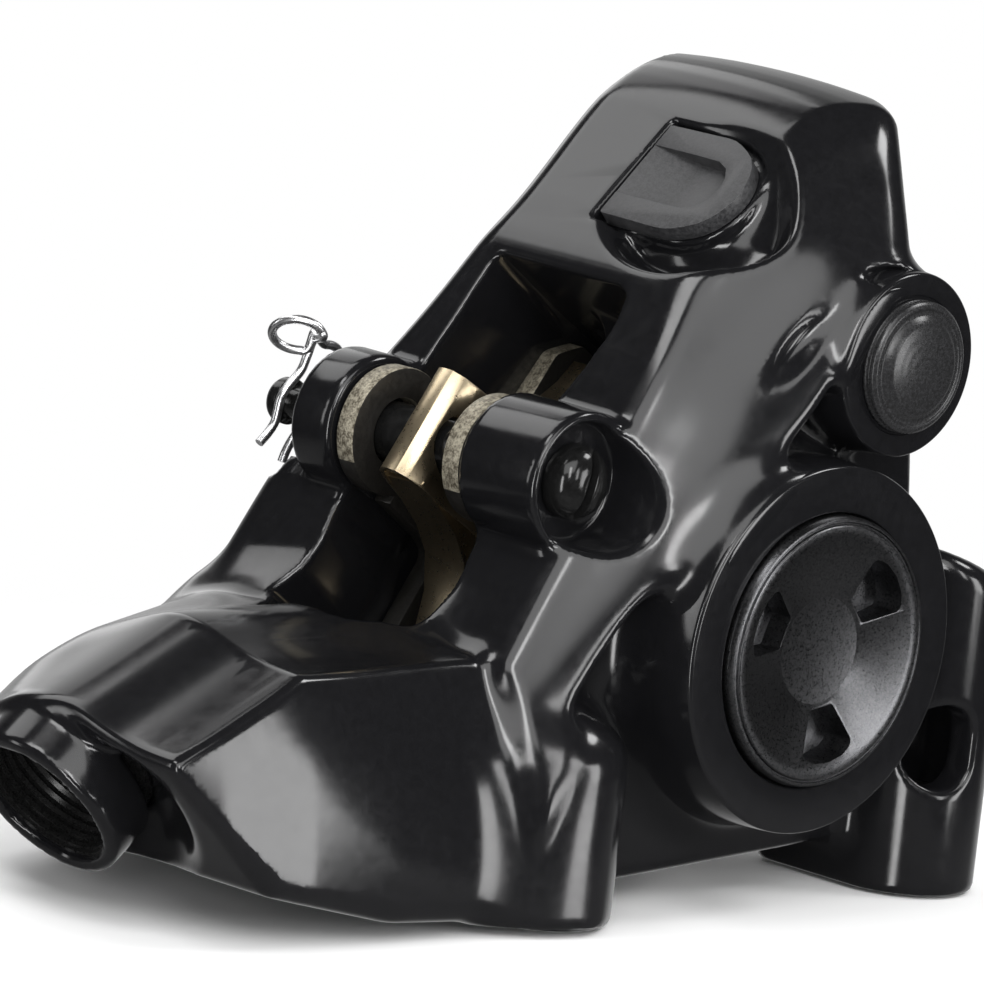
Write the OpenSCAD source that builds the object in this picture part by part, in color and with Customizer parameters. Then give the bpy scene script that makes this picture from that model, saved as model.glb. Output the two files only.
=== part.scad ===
// Two piston disc brake caliper with a one piece body for a flat frame mount.
// Millimetres. X runs from the hose end to the tall end along the two mount bolts,
// Y from the outer face to the inner half, Z up from the mount face at z = 0.
// The pad window slopes: u runs up the slope, n stands square to it.

/* [Mount] */
// distance between the two mount bolts
bolt_spacing = 34; // [33.5:0.1:34.5]
// radius of the round front of a mount leg
leg_radius = 4.9; // [4.7:0.1:5.1]
// radius of the tapped bolt hole in a leg
bolt_hole_radius = 2.5; // [2.1:0.1:2.6]
// depth of the tapped bolt hole
bolt_hole_depth = 12; // [11.5:0.1:12.2]
// height of the leg at the tall end
tall_leg_height = 20.6; // [20:0.1:21]
// height of the leg at the low end
low_leg_height = 13.2; // [12.8:0.1:13.8]

/* [Cylinders] */
// position of the cylinder axis along X
cylinder_x = 0; // [-0.2:0.1:0.2]
// height of the cylinder axis above the mount face
cylinder_z = 17.4; // [17.2:0.1:17.6]
// radius of the two pistons
piston_radius = 8.25; // [8:0.05:8.3]
// radius of the outer cylinder boss at its face
cylinder_boss_radius = 11.8; // [11.6:0.1:12]
// slope of the pad window
slope_angle = 56; // [55.5:0.1:56.5]

/* [Pads] */
// distance from the bolt line to the middle plane of the rotor
rotor_offset = 13; // [12.95:0.05:13.05]
// thickness of the rotor
rotor_thickness = 1.8; // [1.8:0.05:2]
// gap between the rotor and each lining at rest
rotor_gap = 0.3; // [0.25:0.05:0.3]
// thickness of a new lining
lining_thickness = 2.75; // [2.5:0.05:2.75]
// thickness of a backing plate
plate_thickness = 1.5; // [1.4:0.05:1.5]
// radius of the hole in a plate tab
tab_hole_radius = 2.2; // [2.15:0.05:2.3]

/* [Small parts] */
// radius of the pad pin
pin_radius = 1.9; // [1.8:0.05:1.95]
// radius of the wire of the pin clip
clip_wire_radius = 0.3; // [0.25:0.05:0.35]
// thickness of the pad spring leaf
spring_thickness = 0.3; // [0.25:0.01:0.32]
// radius of the head of the valve plug
valve_head_radius = 4.3; // [4.1:0.1:4.4]
// radius of the tapped hose port
port_radius = 4.2; // [4:0.1:4.3]

/* [Hidden] */
$fn = 64;
half_spacing = bolt_spacing / 2;
bore_radius = piston_radius + 0.07;
outer_wall = rotor_offset - 6.3;
inner_wall = rotor_offset + 6.3;
lining_face = rotor_thickness / 2 + rotor_gap;
plate_face = lining_face + lining_thickness;
plate_back = plate_face + plate_thickness;
cap_face = -7;
boss_face = -6.2;
top_n = 18.6;
pin_u = -0.8;
pin_n = 19;
window_low = -14;
window_high = 13;
rotor_radius = 80;
rotor_n = 9 - rotor_radius;
mirror_y = 2 * rotor_offset;
ear_outer = rotor_offset - plate_back - 0.3;
ear_inner = rotor_offset + plate_back + 0.3;
seal_y = 1.5;
port_x = -48.95;
port_y = 12;
port_z = 6.3;
port_tilt = 40.7;
valve_x = 6.6;
valve_z = 35.2;
valve_face = -6;
bleed_x = -2.2;
bleed_y = 7.2;
bleed_z = 44.85;
bleed_tilt = 43.6;
clip_y = 26;

// Frames

// local X runs up the slope, local Z stands square to it, Y is kept
module on_slope() {
    translate([cylinder_x, 0, cylinder_z])
        rotate([0, -slope_angle, 0])
            children();
}

// a profile in the slope plane (u, n), made solid from y1 to y2
module slope_plate(y1, y2) {
    on_slope()
        translate([0, y2, 0])
            rotate([90, 0, 0])
                linear_extrude(height = y2 - y1)
                    children();
}

// a profile in the (x, z) plane, made solid from y1 to y2
module side_plate(y1, y2) {
    translate([0, y2, 0])
        rotate([90, 0, 0])
            linear_extrude(height = y2 - y1)
                children();
}

// a revolved profile (radius, y) about an axis along Y through (x, z)
module turned(x, z) {
    translate([x, 0, z])
        rotate([-90, 0, 0])
            rotate_extrude()
                children();
}

// a round bar along Y
module bar_y(x, z, r, y1, y2) {
    translate([x, y1, z])
        rotate([-90, 0, 0])
            cylinder(h = y2 - y1, r = r);
}

// a round bar between two points
module rod(a, b, r) {
    d = b - a;
    l = norm(d);
    translate(a)
        rotate([0, acos(d[2] / l), atan2(d[1], d[0])])
            cylinder(h = l, r = r);
}

// points of the pin axis in the frame of the part
function pin_x() = cylinder_x + pin_u * cos(slope_angle) - pin_n * sin(slope_angle);
function pin_z() = cylinder_z + pin_u * sin(slope_angle) + pin_n * cos(slope_angle);

// local Z points out of the mouth of the hose port, away from the body
module at_port() {
    translate([port_x, port_y, port_z])
        rotate([0, -90 - port_tilt, 0])
            children();
}

// local Z stands on the face of the bleed boss, local X runs up it
module at_bleed() {
    translate([bleed_x, bleed_y, bleed_z])
        rotate([0, -bleed_tilt, 0])
            children();
}

// Body

// outline of the sloping block seen from the outer face
module side_outline() {
    polygon([[-21, 0.9], [-23.1, 16.5], [-7.6, 39.6], [-5, 42.2], [1.6, 48.3],
        [4.6, 50.9], [7.2, 51.9], [10.4, 51.9], [12.8, 50.2], [13.6, 44], [14.4, 36], [15.2, 26],
        [15.8, 0.9]]);
}

// section of the sloping block with its inner bevel
module cross_section() {
    polygon([[-5.2, top_n], [-5.2, -40], [31.5, -40], [31.5, 9], [25.5, top_n]]);
}

// dip in the block round the bleed boss
module bleed_dip() {
    at_bleed()
        intersection() {
            translate([-1.5, -1, -3.4])
                rotate([0, -14, 0])
                    cylinder(h = 14, r1 = 6.4, r2 = 10);
            translate([-18, -14, -8])
                cube([36, 19.4, 20]);
        }
}

// hollow below the rail, down to the wall behind the cap boss
module rail_hollow() {
    slope_plate(-9, 0.7)
        polygon([[-40, 22], [-12.1, 16.6], [-7.7, 14], [-4.1, 13.4], [-0.1, 12.1], [4.7, 11.6],
            [11.9, 9.9], [19.8, 9], [22.3, 7.8], [26, 1], [38, -20], [38, -60], [-40, -60]]);
}

// everything below a plane through (0, 0, h) whose normal leans by the two angles
module below_plane(h, lean, turn) {
    translate([0, 0, h])
        rotate([0, lean, turn])
            translate([-70, -70, -140])
                cube(140);
}

// the sloping block, cut to its side outline and tapered on the inner side
module slope_block() {
    intersection() {
        side_plate(-12, 36)
            side_outline();
        on_slope()
            translate([-50, 0, 0])
                rotate([90, 0, 90])
                    linear_extrude(height = 100)
                        cross_section();
        on_slope()
            below_plane(17.75, 35.1, -82.2);
        on_slope()
            below_plane(25.3, 47, -62.2);
        on_slope()
            below_plane(26.8, 71.8, -85.5);
        on_slope()
            translate([0, 0, -60])
                linear_extrude(height = 90)
                    polygon([[-48, -2.4], [-12, -2.7], [6, -5.2], [48, -5.2], [48, 40], [-48, 40]]);
        on_slope()
            below_plane(57.4, 59.2, 72.7);
        on_slope()
            below_plane(53.8, 58.2, 82);
        below_plane(79.1, 78.7, -44.4);
        translate([-60, 12, 11.7])
            rotate([0, 90, 0])
                cylinder(h = 120, r = 40, $fn = 200);
    }
}

// the low block that carries the hose port
module tail_block() {
    intersection() {
        side_plate(-8, 36)
            polygon([[-17, 1.2], [-34, 3], [-42, 4.6], [-49.1, 12.2], [-40, 16.55], [-17, 16.5]]);
        translate([-40, -0.5, 0])
            rotate([0, 0, 7.2])
                translate([-30, 0, 0])
                    rotate([90, 0, 90])
                        linear_extrude(height = 70)
                            polygon([[0, 16.7], [-3.4, 13.6], [-4.2, 12], [-6, 0], [40, 0],
                                [40, 16.7]]);
        below_plane(32.88, 27.6, 113.9);
        linear_extrude(height = 30)
            polygon([[-49.2, 3], [-47, 0.8], [-43, -1], [-32, -2.6], [-25, -3.2], [-17.2, -3],
                [-17.2, 30.2], [-30, 27], [-40, 24.4], [-46, 22], [-49.2, 19.5]]);
    }
}

// one mount leg: round front and straight sides
module leg(x, h) {
    translate([x, 0, 0])
        cylinder(h = h - 1, r = leg_radius);
    translate([x, 0, h - 1])
        cylinder(h = 1, r1 = leg_radius, r2 = leg_radius - 1);
    translate([x - leg_radius, 0, 0])
        cube([2 * leg_radius, 9, h - 1]);
}

// boss of the outer cylinder with its face, and the boss of the inner cylinder
module cylinder_bosses() {
    turned(cylinder_x, cylinder_z)
        polygon([[0, boss_face], [cylinder_boss_radius - 0.5, boss_face],
            [cylinder_boss_radius, boss_face + 0.5], [cylinder_boss_radius + 0.5, -3.3],
            [cylinder_boss_radius + 1.7, -1], [cylinder_boss_radius + 2.7, 0.8],
            [cylinder_boss_radius + 2.7, 5], [0, 5]]);
    turned(cylinder_x, cylinder_z)
        polygon([[0, inner_wall], [12.6, inner_wall], [12.6, 29.8], [11, 31.8], [0, 31.8]]);
}

// foot of an ear in the slope plane
module ear_foot() {
    polygon([[pin_u - 5, 12], [pin_u + 5, 12], [pin_u + 4.2, pin_n], [pin_u - 4.2, pin_n]]);
}

// ears of the pad pin with their feet on the sloping face
module ears() {
    turned(pin_x(), pin_z())
        polygon([[0, 0.6], [4.2, 0.6], [4.6, 1], [4.6, ear_outer], [0, ear_outer]]);
    turned(pin_x(), pin_z())
        polygon([[0, ear_inner], [4.6, ear_inner], [4.6, 21.2], [4.1, 22], [3.3, 22.3], [0, 22.3]]);
    slope_plate(4, ear_outer - 0.1)
        ear_foot();
    slope_plate(ear_inner + 0.1, 21)
        ear_foot();
}

// outline of the bleed boss: straight back, round front
module bleed_outline(s) {
    circle(r = 4.1 + s);
    translate([-4.1 - s, 0])
        square([8.2 + 2 * s, 5.4]);
}

// flared boss below the bleed cap: a cone and a wedge behind it
module bleed_boss() {
    at_bleed()
        translate([0, 0, -9])
            cylinder(h = 7.8, r1 = 5.8, r2 = 3.8);
    at_bleed()
        rotate([-90, 0, 0])
            linear_extrude(height = 5.4)
                polygon([[-5.75, 9], [5.75, 9], [3.75, 1.2], [-3.75, 1.2]]);
}

// boss of the valve plug
module valve_boss() {
    turned(valve_x, valve_z)
        polygon([[0, valve_face + 1.2], [5.6, valve_face + 1.2], [5.9, valve_face + 1.5], [6.3, 0],
            [6.5, 4], [0, 4]]);
}

// boss of the hose port
module port_boss() {
    at_port()
        rotate_extrude()
            polygon([[0, -12], [5.3, -12], [5.3, -5], [5.7, -4], [5.7, -0.3], [5.4, 0], [0, 0]]);
}

// pad pocket, rotor slot and the window above them
module pad_pocket() {
    slope_plate(outer_wall, inner_wall)
        polygon([[window_low, -10], [window_low, 40], [window_high, 40], [window_high, -10],
            [8, -14], [-9, -14]]);
    on_slope()
        translate([0, rotor_offset - 2.2, rotor_n])
            rotate([-90, 0, 0])
                cylinder(h = 4.4, r = rotor_radius + 2, $fn = 200);
}

// the inner half ends in a bow around its cylinder
module inner_underside() {
    slope_plate(rotor_offset, 40)
        polygon([[-50, -60], [-50, 3], [-30, 3], [-14.5, -7], [-8, -12.6], [8, -12.6], [14, -7],
            [24, -1], [60, 6], [60, -60]]);
}

// bores of the cylinders, the cap thread and the seal grooves
module cylinder_bores() {
    turned(cylinder_x, cylinder_z)
        polygon([[0, -12], [8.87, -12], [8.87, -3.9], [8.5, -3.9], [8.5, -2.4],
            [bore_radius, -2.4], [bore_radius, seal_y], [9.9, seal_y], [9.9, seal_y + 2],
            [bore_radius, seal_y + 2], [bore_radius, outer_wall + 1], [0, outer_wall + 1]]);
    turned(cylinder_x, cylinder_z)
        polygon([[0, inner_wall - 1], [bore_radius, inner_wall - 1],
            [bore_radius, mirror_y - seal_y - 2], [9.9, mirror_y - seal_y - 2],
            [9.9, mirror_y - seal_y], [bore_radius, mirror_y - seal_y], [bore_radius, 28.5],
            [0, 28.5]]);
}

// tapped holes of the mount and the window in the tall leg
module mount_holes() {
    for (s = [-1, 1])
        translate([s * half_spacing, 0, -1])
            cylinder(h = bolt_hole_depth + 1, r = bolt_hole_radius);
    bar_y(15.2, 9, 2, -9, 0);
    bar_y(15.2, 10.5, 2, -9, 0);
    translate([13.2, -9, 9])
        cube([4, 9, 1.5]);
}

// hose port bore and the drilled passages
module fluid_passages() {
    at_port()
        rotate_extrude()
            polygon([[0, 1], [4.7, 1], [4.7, 0], [port_radius, -0.7], [port_radius, -6.5],
                [1.2, -8], [1.2, -9.6], [0, -9.6]]);
    rod([-42.3, 12, 12], [-7, -1.8, 15.2], 0.7);
    rod([-38.8, 10.63, 12.32], [-7, 27.7, 15.2], 0.6);
    rod([3, -1.7, 24.5], [6.6, -0.9, 33.5], 0.6);
    rod([6.6, 1, 35.2], [2.9, bleed_y, 39.5], 0.8);
}

// seats of the pin, its head and its clip
module pin_bores() {
    bar_y(pin_x(), pin_z(), pin_radius + 0.06, -3, 26);
    bar_y(pin_x(), pin_z(), 3.9, -12, 2);
    bar_y(pin_x(), pin_z(), 3.3, 22.3, 36);
    bar_y(pin_x(), pin_z(), 4.8, 25.3, 36);
}

// seats of the bleed nipple and the valve plug
module small_bores() {
    at_bleed()
        translate([0, 0, -9])
            cylinder(h = 12, r = 2.5);
    at_bleed()
        translate([0, 0, -4])
            cylinder(h = 7, r = 3.1);
    at_bleed()
        translate([0, 0, -1.2])
            linear_extrude(height = 5)
                bleed_outline(0.3);
    turned(valve_x, valve_z)
        polygon([[0, -12], [3.25, -12], [3.25, 1.5], [0, 1.5]]);
}

// shallow step at the low end of the window
module window_step() {
    intersection() {
        translate([-10, 11.7, 14.9])
            cylinder(h = 6, r = 16.7);
        translate([-30, 2.6, 14.9])
            cube([10.5, 18.4, 6]);
    }
}

module caliper_body() {
    color([0.05, 0.05, 0.055])
        difference() {
            union() {
                difference() {
                    union() {
                        difference() {
                            slope_block();
                            rail_hollow();
                            bleed_dip();
                        }
                        tail_block();
                        leg(-half_spacing, low_leg_height);
                        leg(half_spacing, tall_leg_height);
                        cylinder_bosses();
                        valve_boss();
                        port_boss();
                    }
                    pad_pocket();
                    inner_underside();
                }
                ears();
                bleed_boss();
            }
            cylinder_bores();
            mount_holes();
            fluid_passages();
            pin_bores();
            small_bores();
            window_step();
        }
}

// Cylinders

// one of the three pockets for the pin spanner
module cap_pocket(a) {
    rotate([0, 0, a])
        translate([0, 0, -8])
            linear_extrude(height = 3.4)
                polygon([[3.8, -1.1], [6.5, -2.2], [7.2, -1.2], [7.4, 0], [7.2, 1.2], [6.5, 2.2],
                    [3.8, 1.1]]);
}

module bore_cap() {
    f = cap_face;
    color([0.36, 0.36, 0.38])
        translate([cylinder_x, 0, cylinder_z])
            rotate([-90, 0, 0])
                difference() {
                    rotate_extrude()
                        polygon([[0, f + 0.9], [3.6, f + 0.9], [7.5, f], [8.4, f], [8.8, f + 0.4],
                            [8.8, f + 2.3], [8.48, f + 2.3], [8.48, -2.5], [7.2, -2.5],
                            [6.8, -3.4], [0, -3.4]]);
                    for (a = [40, 160, 280])
                        cap_pocket(-a);
                }
}

module bore_cap_seal() {
    color([0.04, 0.04, 0.04])
        turned(cylinder_x, cylinder_z)
            polygon([[8.5, -4.65], [8.84, -4.65], [8.84, -3.95], [8.5, -3.95]]);
}

// cup shaped piston, open towards the pad; s is 1 for the outer one
module piston(front, s) {
    turned(cylinder_x, cylinder_z)
        polygon([[0, front - s * 4.4], [5.6, front - s * 4.4], [6.2, front - s * 3.8],
            [6.2, front], [piston_radius - 0.3, front], [piston_radius, front - s * 0.3],
            [piston_radius, front - s * 7.9], [piston_radius - 0.7, front - s * 8.45],
            [0, front - s * 8.45]]);
}

module outer_piston() {
    color([0.55, 0.53, 0.5])
        piston(rotor_offset - plate_back - 0.1, 1);
}

module inner_piston() {
    color([0.55, 0.53, 0.5])
        piston(rotor_offset + plate_back + 0.1, -1);
}

// square section ring in its groove
module piston_seal(y) {
    turned(cylinder_x, cylinder_z)
        polygon([[piston_radius + 0.02, y + 0.03], [9.88, y + 0.03], [9.88, y + 1.97],
            [piston_radius + 0.02, y + 1.97]]);
}

module outer_piston_seal() {
    color([0.1, 0.1, 0.1])
        piston_seal(seal_y);
}

module inner_piston_seal() {
    color([0.1, 0.1, 0.1])
        piston_seal(mirror_y - seal_y - 2);
}

// Pads

module plate_outline() {
    difference() {
        union() {
            polygon([[-13.3, -6], [-10.4, -9.5], [9.4, -9.5], [12.3, -6], [12.3, 8.6], [10.6, 10.3],
                [-11.6, 10.3], [-13.3, 8.6]]);
            translate([pin_u - 3.9, 9])
                square([7.8, pin_n - 9]);
            translate([pin_u, pin_n])
                circle(r = 4.15);
        }
        translate([pin_u, pin_n])
            circle(r = tab_hole_radius);
    }
}

module lining_outline() {
    polygon([[-12.7, -5.8], [-9.9, -9], [8.9, -9], [11.7, -5.8], [11.7, 6.6], [10.3, 8],
        [-11.3, 8], [-12.7, 6.6]]);
}

module outer_pad_plate() {
    color([0.55, 0.52, 0.46])
        slope_plate(rotor_offset - plate_back, rotor_offset - plate_face)
            plate_outline();
}

module outer_pad_lining() {
    color([0.22, 0.21, 0.2])
        slope_plate(rotor_offset - plate_face, rotor_offset - lining_face)
            lining_outline();
}

module inner_pad_plate() {
    color([0.55, 0.52, 0.46])
        slope_plate(rotor_offset + plate_face, rotor_offset + plate_back)
            plate_outline();
}

module inner_pad_lining() {
    color([0.22, 0.21, 0.2])
        slope_plate(rotor_offset + lining_face, rotor_offset + plate_face)
            lining_outline();
}

// half of the spring leaf: half the bridge, a flank and the two arms along the plate
module spring_half() {
    t = spring_thickness;
    f = plate_face - 0.1;
    translate([pin_u - 3.75, 0, 0])
        rotate([90, 0, 90])
            linear_extrude(height = 7.5)
                polygon([[0, pin_n + 3.3], [0.7, pin_n + 3.15], [1.5, pin_n + 2.3], [f, 14.2],
                    [f, 9], [f - t, 9], [f - t, 14.1], [1.5 - t, pin_n + 2.2],
                    [0.6, pin_n + 2.87], [0, pin_n + 3]]);
    translate([0, f, 0])
        rotate([90, 0, 0])
            linear_extrude(height = t)
                polygon([[-11.5, 8.4], [-11.5, 10.2], [-9.5, 11.4], [pin_u - 3.7, 12.6],
                    [pin_u - 3.7, 13.4], [pin_u + 3.7, 13.4], [pin_u + 3.7, 12.6], [9, 11.4],
                    [11, 10.2], [11, 8.4], [pin_u + 3.7, 9.3], [pin_u - 3.7, 9.3]]);
}

module pad_spring() {
    color([0.78, 0.66, 0.4])
        on_slope()
            translate([0, rotor_offset, 0])
                difference() {
                    union() {
                        spring_half();
                        mirror([0, 1, 0])
                            spring_half();
                    }
                    translate([pin_u, -6, pin_n])
                        rotate([-90, 0, 0])
                            cylinder(h = 12, r = 2.3);
                }
}

// Pin

module pad_pin() {
    color([0.06, 0.06, 0.065])
        difference() {
            turned(pin_x(), pin_z())
                polygon([[0, -0.1], [1.8, -0.1], [2.4, 0.5], [2.4, 2], [pin_radius, 2],
                    [pin_radius, 2.6], [1.55, 2.6], [1.55, 3.4], [pin_radius, 3.4],
                    [pin_radius, 22.5], [1, 23.2], [1, 26.6], [1.5, 26.8], [1.5, 27.5],
                    [1.2, 27.8], [0, 27.8]]);
            translate([pin_x(), -1, pin_z()])
                rotate([0, 14, 0])
                    translate([-0.35, 0, -4])
                        cube([0.7, 1.9, 8]);
        }
}

module pin_ring() {
    color([0.03, 0.03, 0.03])
        turned(pin_x(), pin_z())
            polygon([[1.57, 2.65], [1.93, 2.65], [1.93, 3.35], [1.57, 3.35]]);
}

// straight piece of wire with a rounded start, in the plane of the clip
module clip_bar(a, b, r) {
    rod([a[0], clip_y, a[1]], [b[0], clip_y, b[1]], r);
    translate([a[0], clip_y, a[1]])
        sphere(r = r + 0.01);
}

// spring wire clip: two legs beside the neck of the pin and a ring above them
module pin_clip() {
    r = clip_wire_radius;
    color([0.8, 0.8, 0.82])
        union() {
            clip_bar([-19.4, 25], [-18.2, 26.2], r);
            clip_bar([-18.2, 26.2], [-17.7, 28.2], r);
            clip_bar([-17.7, 28.2], [-15.6, 30.6], r);
            clip_bar([-15.6, 30.6], [-15.5, 32], r);
            clip_bar([-17.2, 23.6], [-15.1, 26.4], r);
            clip_bar([-15.1, 26.4], [-13.4, 29.6], r);
            clip_bar([-13.4, 29.6], [-13.9, 31.1], r);
            clip_bar([-13.9, 31.1], [-15.8, 32], r);
            translate([-17.2, clip_y, 32])
                rotate([0, 8, 0])
                    rotate_extrude()
                        translate([1.7, 0])
                            circle(r = r);
        }
}

// Bleed port and valve

// soft cap over the bleed port, with a sloping recess in its top
module bleed_cap() {
    color([0.09, 0.09, 0.095])
        at_bleed()
            difference() {
                union() {
                    translate([0, 0, -1.1])
                        linear_extrude(height = 1.1)
                            bleed_outline(0);
                    translate([0, 0, -1.7])
                        cylinder(h = 1, r = 3);
                }
                translate([0, 0, -0.55])
                    linear_extrude(height = 2)
                        polygon([[-2.6, 4.4], [2.6, 4.4], [2.6, -1], [2, -2.2], [0.8, -2.9],
                            [-0.8, -2.9], [-2, -2.2], [-2.6, -1]]);
            }
}

module bleed_nipple() {
    color([0.62, 0.62, 0.64])
        at_bleed()
            difference() {
                rotate_extrude()
                    polygon([[0, -8.6], [1.2, -8.6], [2.45, -7.6], [2.45, -5], [2, -4.7],
                        [2, -4.1], [2.6, -3.7], [2.6, -2.3], [0, -2.3]]);
                translate([0, 0, -9])
                    cylinder(h = 8, r = 0.8);
                translate([0, 0, -3.4])
                    cylinder(h = 2, r = 1.5, $fn = 6);
            }
}

module bleed_seal() {
    color([0.04, 0.04, 0.04])
        at_bleed()
            rotate_extrude()
                polygon([[2.02, -4.62], [2.48, -4.62], [2.48, -4.14], [2.02, -4.14]]);
}

module valve_plug() {
    f = valve_face;
    color([0.08, 0.08, 0.085])
        turned(valve_x, valve_z)
            polygon([[0, f - 0.1], [2.9, f - 0.1], [3.6, f + 0.3], [4.1, f + 0.3],
                [valve_head_radius, f + 0.5], [valve_head_radius, f + 0.7],
                [valve_head_radius - 0.25, f + 0.8], [valve_head_radius - 0.25, f + 0.9],
                [valve_head_radius, f + 1], [valve_head_radius, f + 1.2], [3.2, f + 1.2],
                [3.2, -3.2], [2.6, -3.2], [2.6, -2.2], [3.2, -2.2], [3.2, -1.7], [1.4, 0.9],
                [0, 0.9]]);
}

module valve_seal() {
    color([0.04, 0.04, 0.04])
        turned(valve_x, valve_z)
            polygon([[2.62, -3.15], [3.22, -3.15], [3.22, -2.25], [2.62, -2.25]]);
}

// steel ball that closes the end of the drilled passage to the bleed port
module cross_ball() {
    color([0.7, 0.7, 0.72])
        translate([5.2, 3.4, 36.9])
            sphere(r = 0.6);
}

caliper_body();
bore_cap();
bore_cap_seal();
outer_piston();
inner_piston();
outer_piston_seal();
inner_piston_seal();
outer_pad_plate();
outer_pad_lining();
inner_pad_plate();
inner_pad_lining();
pad_spring();
pad_pin();
pin_ring();
pin_clip();
bleed_cap();
bleed_nipple();
bleed_seal();
valve_plug();
valve_seal();
cross_ball();
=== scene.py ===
import math

import bmesh
import bpy
import numpy as np
from mathutils import Matrix, Vector


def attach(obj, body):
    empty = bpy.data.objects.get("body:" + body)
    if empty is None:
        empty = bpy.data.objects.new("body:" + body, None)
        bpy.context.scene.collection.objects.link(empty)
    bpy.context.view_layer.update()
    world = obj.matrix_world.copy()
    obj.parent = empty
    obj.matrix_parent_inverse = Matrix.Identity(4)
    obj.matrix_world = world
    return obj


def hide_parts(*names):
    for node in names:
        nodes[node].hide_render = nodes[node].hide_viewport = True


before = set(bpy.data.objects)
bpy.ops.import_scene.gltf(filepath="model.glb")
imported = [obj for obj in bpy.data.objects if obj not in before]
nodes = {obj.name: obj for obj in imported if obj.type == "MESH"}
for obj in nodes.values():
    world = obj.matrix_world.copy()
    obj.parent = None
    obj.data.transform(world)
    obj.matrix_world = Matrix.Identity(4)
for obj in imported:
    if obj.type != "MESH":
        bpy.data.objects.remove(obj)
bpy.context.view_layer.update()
MM = 0.001

# ---- sizes in millimetres; u runs up the slope, n stands square to it ----

SLOPE = math.radians(56)
SLOPE_COS, SLOPE_SIN = math.cos(SLOPE), math.sin(SLOPE)
CYLINDER_Z = 17.4
ROTOR_Y = 13.0
TOP_FACE = 18.6
PIN_U, PIN_N = -0.8, 19.0
VALVE_X, VALVE_Z = 6.6, 35.2
MOUNT_X = 17
LEG_RADIUS = 4.9
BLEED_TURN, BLEED_SPOT = math.radians(43.6), (-2.2, 7.2, 44.85)
PORT_TURN, PORT_SPOT = math.radians(-130.7), (-48.95, 12, 6.3)
PORT_BORE, MOUNT_BORE = 4.72, 2.5
PISTON_BORE, SEAL_GROOVE = 8.32, 9.9


def slope_to_part(u, n):
    """a place on the slope, as x and z of the whole part"""
    return u * SLOPE_COS - n * SLOPE_SIN, CYLINDER_Z + u * SLOPE_SIN + n * SLOPE_COS


PIN_X, PIN_Z = slope_to_part(PIN_U, PIN_N)


# ---- shaping tools for the casting: distances in millimetres, negative inside ----

def both(a, b, r=0.0):
    """what a and b share, with an outer edge of radius r"""
    if not hasattr(r, "shape") and r <= 0:
        return np.maximum(a, b)
    return np.minimum(np.maximum(a, b), -r) + np.hypot(np.maximum(a + r, 0), np.maximum(b + r, 0))


def either(a, b, r=0.0):
    """a joined to b, with a fillet of radius r"""
    return -both(-a, -b, r)


def without(a, b, r=0.0):
    """a with b cut out of it, the cut's edge broken by r"""
    return both(a, -b, r)


def soften(points, radii):
    """an outline whose corners are turned into arcs"""
    out = []
    count = len(points)
    if not hasattr(radii, "__len__"):
        radii = [radii] * count
    for i in range(count):
        p = np.array(points[i], float)
        a = np.array(points[i - 1], float) - p
        b = np.array(points[(i + 1) % count], float) - p
        la, lb = np.linalg.norm(a), np.linalg.norm(b)
        a, b = a / la, b / lb
        half = math.acos(max(-1.0, min(1.0, float(a @ b)))) / 2
        if radii[i] <= 0 or half > 1.55:
            out.append(p)
            continue
        run = min(radii[i] / math.tan(half), 0.48 * la, 0.48 * lb)
        r = run * math.tan(half)
        centre = p + (a + b) / np.linalg.norm(a + b) * (r / math.sin(half))
        s, e = p + a * run - centre, p + b * run - centre
        s_angle = math.atan2(s[1], s[0])
        turn = (math.atan2(e[1], e[0]) - s_angle + math.pi) % (2 * math.pi) - math.pi
        steps = max(2, int(abs(turn) / 0.22))
        for k in range(steps + 1):
            t = s_angle + turn * k / steps
            out.append(centre + r * np.array([math.cos(t), math.sin(t)]))
    return np.array(out)


def outline(px, py, points):
    """signed distance to a closed outline in one plane"""
    shape = np.broadcast(px, py).shape
    best = np.full(shape, 1e9)
    inside = np.zeros(shape, bool)
    for a, b in zip(points, np.roll(points, -1, axis=0)):
        ex, ey = b - a
        wx, wy = px - a[0], py - a[1]
        t = np.clip((wx * ex + wy * ey) / (ex * ex + ey * ey + 1e-12), 0, 1)
        best = np.minimum(best, (wx - ex * t) ** 2 + (wy - ey * t) ** 2)
        if a[1] != b[1]:
            crosses = (a[1] > py) != (b[1] > py)
            inside ^= crosses & (px < a[0] + (py - a[1]) * ex / ey)
    return np.where(inside, -1.0, 1.0) * np.sqrt(best)


def along(u, table):
    """a value that changes smoothly along the slope, from (place, value) pairs"""
    xs = np.array([t[0] for t in table], float)
    ys = np.array([t[1] for t in table], float)
    h = np.diff(xs)
    d = np.diff(ys) / h
    m = np.zeros(len(xs))
    m[0], m[-1] = d[0], d[-1]
    for i in range(1, len(xs) - 1):
        if d[i - 1] * d[i] > 0:
            w1, w2 = 2 * h[i] + h[i - 1], h[i] + 2 * h[i - 1]
            m[i] = (w1 + w2) / (w1 / d[i - 1] + w2 / d[i])
    flat = np.clip(u, xs[0], xs[-1])
    i = np.clip(np.searchsorted(xs, flat) - 1, 0, len(xs) - 2)
    t = (flat - xs[i]) / h[i]
    value = ((1 + 2 * t) * (1 - t) ** 2 * ys[i] + t * (1 - t) ** 2 * h[i] * m[i]
             + t * t * (3 - 2 * t) * ys[i + 1] - t * t * (1 - t) * h[i] * m[i + 1])
    return value + np.minimum(u - xs[0], 0) * m[0] + np.maximum(u - xs[-1], 0) * m[-1]


# ---- the casting ----

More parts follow.
